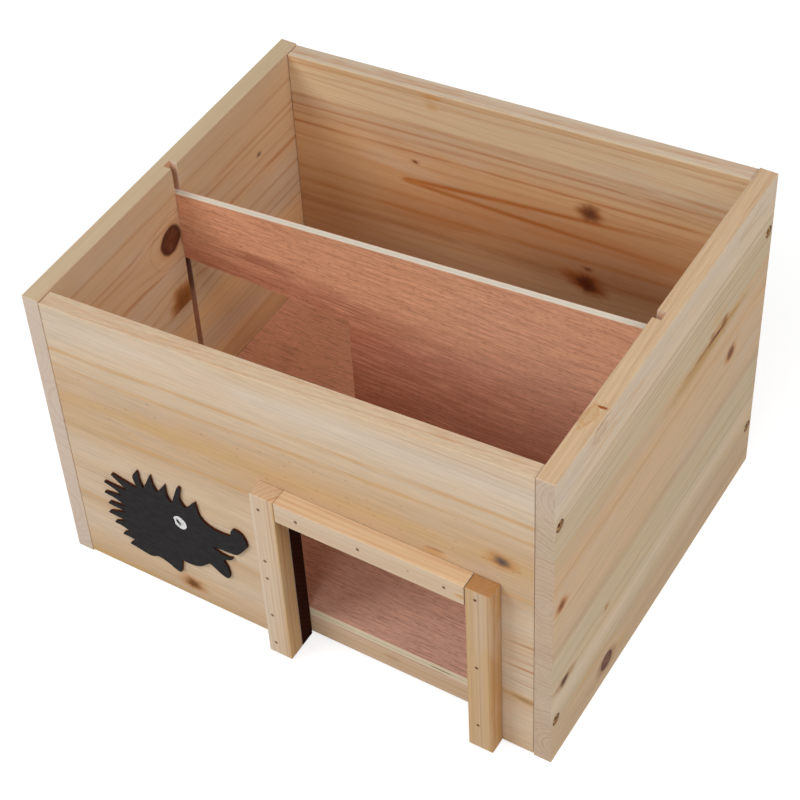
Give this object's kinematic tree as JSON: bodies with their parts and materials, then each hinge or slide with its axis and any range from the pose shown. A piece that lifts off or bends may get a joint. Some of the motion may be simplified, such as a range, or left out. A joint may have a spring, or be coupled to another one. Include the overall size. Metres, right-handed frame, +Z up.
{
  "type": "hedgehog house",
  "caption": "Open-topped pine animal house with a porch doorway, plywood floor, lift-out divider with a passage, and a black hedgehog silhouette on the front.",
  "frame": {"origin": "on the ground, under the middle of the whole object's box, porch included", "axes": "+X from the low side wall to the high side wall, +Y from the doorway to the back wall, +Z up"},
  "size_m": [0.45, 0.3722, 0.32],
  "materials": {
    "side_pine": "planed bare pine, slightly grey",
    "end_pine": "planed bare pine",
    "strip_pine": "sawn and planed pine strip",
    "floor_plywood": "bare plywood with a pinkish brown face veneer",
    "divider_plywood": "bare plywood with a red-brown face veneer",
    "black_paint": "thin plywood, laser cut, matt black face",
    "white_enamel": "white enamel dab",
    "screw_zinc": "dull yellow zinc plating",
    "brad_steel": "dark bare steel"
  },
  "bodies": {
    "body": {"left_wall": "side_pine", "right_wall": "side_pine", "front_wall": "end_pine", "back_wall": "end_pine", "floor_panel": "floor_plywood", "front_cleat": "strip_pine", "back_cleat": "strip_pine", "porch_post_left": "strip_pine", "porch_post_right": "strip_pine", "porch_lintel": "strip_pine", "hedgehog_plate": "black_paint", "hedgehog_eye": "white_enamel", "screw_left_front_upper": "screw_zinc", "screw_left_front_lower": "screw_zinc", "screw_left_back_upper": "screw_zinc", "screw_left_back_lower": "screw_zinc", "screw_right_front_upper": "screw_zinc", "screw_right_front_lower": "screw_zinc", "screw_right_back_upper": "screw_zinc", "screw_right_back_lower": "screw_zinc", "brad_left_post_1": "brad_steel", "brad_left_post_2": "brad_steel", "brad_left_post_3": "brad_steel", "brad_left_post_4": "brad_steel", "brad_left_post_5": "brad_steel", "brad_right_post_1": "brad_steel", "brad_right_post_2": "brad_steel", "brad_right_post_3": "brad_steel", "brad_lintel_1": "brad_steel", "brad_lintel_2": "brad_steel", "brad_lintel_3": "brad_steel", "brad_front_cleat_1": "brad_steel", "brad_front_cleat_2": "brad_steel", "brad_front_cleat_3": "brad_steel", "brad_back_cleat_1": "brad_steel", "brad_back_cleat_2": "brad_steel", "brad_back_cleat_3": "brad_steel"},
    "divider": {"divider": "divider_plywood"}
  },
  "joints": [
    {"name": "divider_lift", "type": "slide", "parent": "body", "child": "divider", "axis": [0, 0, 1], "range_m": [0, 0.3]}
  ]
}
